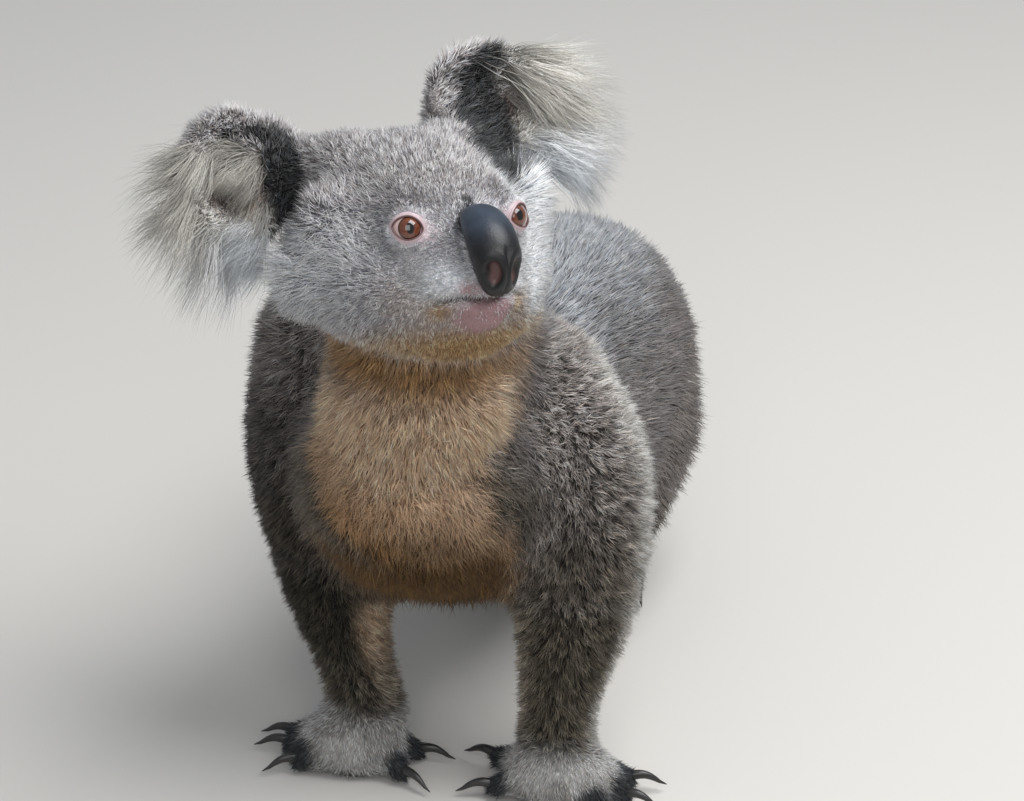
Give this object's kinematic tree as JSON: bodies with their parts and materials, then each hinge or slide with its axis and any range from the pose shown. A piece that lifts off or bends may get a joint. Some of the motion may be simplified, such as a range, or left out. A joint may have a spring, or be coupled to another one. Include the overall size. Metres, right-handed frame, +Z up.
{
  "type": "koala model",
  "caption": "Still, life-size model of a koala standing on all fours, head lifted and turned to its left, with big fringed ears and a dense woolly grey coat.",
  "frame": {"origin": "on the floor, under the middle of the bounding box", "axes": "+Z up; the koala's body faces -Y and its left side is +X"},
  "size_m": [0.2838, 0.4906, 0.4484],
  "materials": {
    "coat": "dense matte grey-brown wool, lighter at the tips",
    "paw_coat": "short pale matte fur",
    "bare_skin": "thin satin skin of the eyelids and lips, pink to dark brown",
    "nose_leather": "fine-grained satin, blue-black",
    "claw_horn": "polished dark horn",
    "eye_gloss": "wet gloss"
  },
  "bodies": {
    "root": {"claw_foot_left_2": "claw_horn", "claw_foot_left_3": "claw_horn", "claw_foot_left_4": "claw_horn", "claw_foot_left_5": "claw_horn", "claw_foot_right_2": "claw_horn", "claw_foot_right_3": "claw_horn", "claw_foot_right_4": "claw_horn", "claw_foot_right_5": "claw_horn", "claw_hand_left_1": "claw_horn", "claw_hand_left_2": "claw_horn", "claw_hand_left_3": "claw_horn", "claw_hand_left_4": "claw_horn", "claw_hand_left_5": "claw_horn", "claw_hand_right_1": "claw_horn", "claw_hand_right_2": "claw_horn", "claw_hand_right_3": "claw_horn", "claw_hand_right_4": "claw_horn", "claw_hand_right_5": "claw_horn", "ear_left": "coat", "ear_right": "coat", "eye_left": "eye_gloss", "eye_right": "eye_gloss", "foot_left": "paw_coat", "foot_right": "paw_coat", "forearm_left": "coat", "forearm_right": "coat", "hand_left": "paw_coat", "hand_right": "paw_coat", "head": "coat", "neck": "coat", "nose": "nose_leather", "shin_left": "coat", "shin_right": "coat", "thigh_left": "coat", "thigh_right": "coat", "trunk": "coat", "upper_arm_left": "coat", "upper_arm_right": "coat"}
  },
  "joints": []
}
